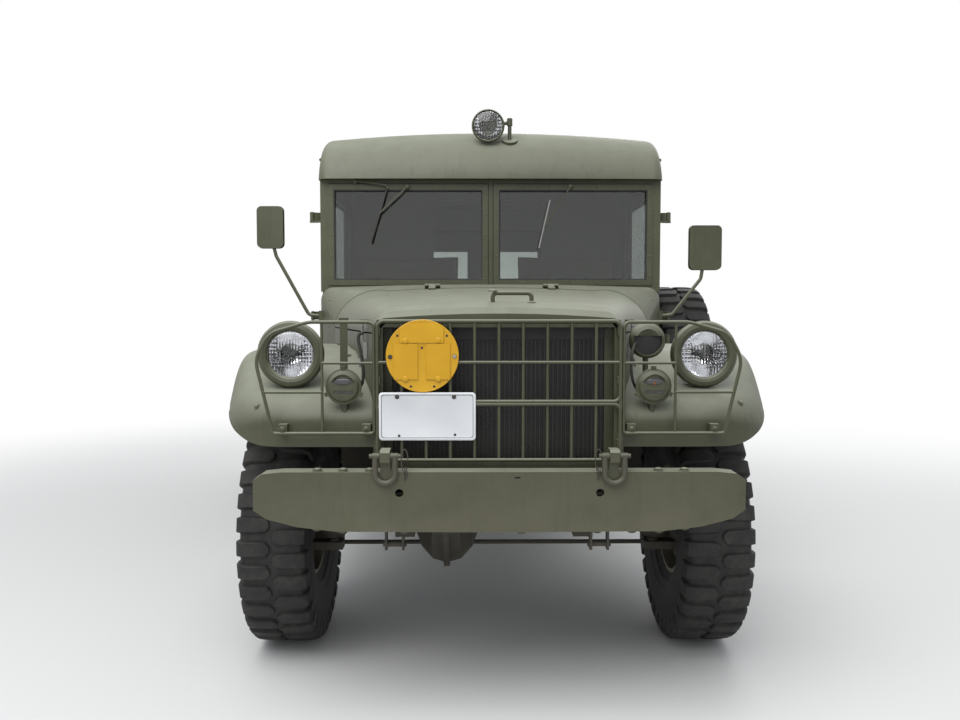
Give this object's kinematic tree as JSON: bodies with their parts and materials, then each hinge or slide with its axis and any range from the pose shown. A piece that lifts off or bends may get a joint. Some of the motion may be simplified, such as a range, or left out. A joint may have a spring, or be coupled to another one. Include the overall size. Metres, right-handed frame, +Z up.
{
  "type": "military ambulance truck",
  "caption": "Bonneted four-wheel-drive field ambulance with boxed steel body, guarded nose, side-hung spare wheel, opening hood, cab doors and rear doors.",
  "frame": {"origin": "on the ground under the middle of the truck's overall box", "axes": "+Z up, the nose points to -Y, +X is the driver's side with the spare wheel"},
  "size_m": [2.15, 5.086, 2.334],
  "materials": {
    "olive_paint": "semi-gloss",
    "chassis_paint": "satin",
    "cast_iron": "rough",
    "exhaust_steel": "rusty",
    "radiator_core": "matt",
    "tyre_rubber": "matt",
    "window_glass": "clear",
    "sign_paint": "gloss",
    "seat_canvas": "woven",
    "wheel_rim_plastic": "satin"
  },
  "bodies": {
    "chassis": {"frame": "chassis_paint", "front_bumper": "olive_paint", "tow_shackles": "cast_iron", "rear_bumperettes": "olive_paint", "pintle_hook": "cast_iron", "front_axle": "chassis_paint", "rear_axle": "chassis_paint", "leaf_springs": "chassis_paint", "powertrain": "cast_iron", "radiator": "radiator_core", "fuel_tank": "chassis_paint", "exhaust": "exhaust_steel", "nose": "olive_paint", "fender_left": "olive_paint", "fender_right": "olive_paint", "cowl": "olive_paint", "windshield_frame": "olive_paint", "windshield_glass": "window_glass", "grille_guard": "olive_paint", "front_lamps": "olive_paint", "lamp_lenses": "window_glass", "tail_lamps": "olive_paint", "spotlight": "olive_paint", "mirrors": "olive_paint", "sign_plates": "sign_paint", "body_side_left": "olive_paint", "body_side_right": "olive_paint", "body_floor": "olive_paint", "bulkhead": "olive_paint", "rear_frame": "olive_paint", "roof": "olive_paint", "running_board": "olive_paint", "seats": "seat_canvas", "dash": "olive_paint"},
    "knuckle_left": {"knuckle_left": "chassis_paint"},
    "knuckle_right": {"knuckle_right": "chassis_paint"},
    "tie_rod": {"tie_rod": "chassis_paint"},
    "wheel_front_left": {"wheel_front_left": "olive_paint", "tyre_front_left": "tyre_rubber"},
    "wheel_front_right": {"wheel_front_right": "olive_paint", "tyre_front_right": "tyre_rubber"},
    "wheel_rear_left": {"wheel_rear_left": "olive_paint", "tyre_rear_left": "tyre_rubber"},
    "wheel_rear_right": {"wheel_rear_right": "olive_paint", "tyre_rear_right": "tyre_rubber"},
    "hood": {"hood": "olive_paint"},
    "cab_door_left": {"cab_door_left": "olive_paint", "cab_glass_left": "window_glass"},
    "cab_door_right": {"cab_door_right": "olive_paint", "cab_glass_right": "window_glass"},
    "rear_door_left": {"rear_door_left": "olive_paint", "rear_glass_left": "window_glass"},
    "rear_door_right": {"rear_door_right": "olive_paint", "rear_glass_right": "window_glass"},
    "rear_step": {"rear_step": "olive_paint"},
    "spare_carrier": {"spare_carrier": "olive_paint", "spare_wheel": "olive_paint", "spare_tyre": "tyre_rubber"},
    "steering_wheel": {"steering_wheel": "wheel_rim_plastic"}
  },
  "joints": [
    {"name": "steer_left", "type": "hinge", "parent": "chassis", "child": "knuckle_left", "pos_m": [0.64, -1.712, 0.465], "axis": [0, 0, 1], "range_deg": [-30, 30]},
    {"name": "steer_right", "type": "hinge", "parent": "chassis", "child": "knuckle_right", "pos_m": [-0.64, -1.712, 0.465], "axis": [0, 0, 1], "range_deg": [-30, 30]},
    {"name": "tie_rod_pivot", "type": "hinge", "parent": "knuckle_left", "child": "tie_rod", "pos_m": [0.64, -1.542, 0.3235], "axis": [0, 0, 1], "range_deg": [-30, 30]},
    {"name": "steering_wheel_turn", "type": "hinge", "parent": "chassis", "child": "steering_wheel", "pos_m": [0.4, -0.83, 1.325], "axis": [0, 0.6451, 0.7641], "range_deg": [-600, 600]},
    {"name": "roll_front_left", "type": "hinge", "parent": "knuckle_left", "child": "wheel_front_left", "pos_m": [0.7875, -1.712, 0.465], "axis": [1, 0, 0], "continuous": true},
    {"name": "roll_front_right", "type": "hinge", "parent": "knuckle_right", "child": "wheel_front_right", "pos_m": [-0.7875, -1.712, 0.465], "axis": [1, 0, 0], "continuous": true},
    {"name": "roll_rear_left", "type": "hinge", "parent": "chassis", "child": "wheel_rear_left", "pos_m": [0.7875, 1.488, 0.465], "axis": [1, 0, 0], "continuous": true},
    {"name": "roll_rear_right", "type": "hinge", "parent": "chassis", "child": "wheel_rear_right", "pos_m": [-0.7875, 1.488, 0.465], "axis": [1, 0, 0], "continuous": true},
    {"name": "hood_lift", "type": "hinge", "parent": "chassis", "child": "hood", "pos_m": [0, -1.314, 1.402], "axis": [-1, 0, 0], "range_deg": [0, 50]},
    {"name": "spare_swing", "type": "hinge", "parent": "chassis", "child": "spare_carrier", "pos_m": [0.83, -1.062, 1], "axis": [0, 0, -1], "range_deg": [0, 60]},
    {"name": "cab_door_left_swing", "type": "hinge", "parent": "chassis", "child": "cab_door_left", "pos_m": [0.83, -1.062, 1.3], "axis": [0, 0, -1], "range_deg": [0, 60]},
    {"name": "cab_door_right_swing", "type": "hinge", "parent": "chassis", "child": "cab_door_right", "pos_m": [-0.83, -1.062, 1.3], "axis": [0, 0, 1], "range_deg": [0, 70]},
    {"name": "rear_door_left_swing", "type": "hinge", "parent": "chassis", "child": "rear_door_left", "pos_m": [0.6, 2.41, 1.4], "axis": [0, 0, -1], "range_deg": [0, 110]},
    {"name": "rear_door_right_swing", "type": "hinge", "parent": "chassis", "child": "rear_door_right", "pos_m": [-0.6, 2.41, 1.4], "axis": [0, 0, 1], "range_deg": [0, 110]},
    {"name": "rear_step_fold", "type": "hinge", "parent": "chassis", "child": "rear_step", "pos_m": [0, 2.416, 0.795], "axis": [-1, 0, 0], "range_deg": [0, 90]}
  ],
  "couplings": [
    {"joint": "steer_right", "follows": "steer_left", "ratio": 1},
    {"joint": "tie_rod_pivot", "follows": "steer_left", "ratio": -1},
    {"joint": "steering_wheel_turn", "follows": "steer_left", "ratio": 20},
    {"joint": "cab_door_left_swing", "follows": "spare_swing", "ratio": 1}
  ]
}
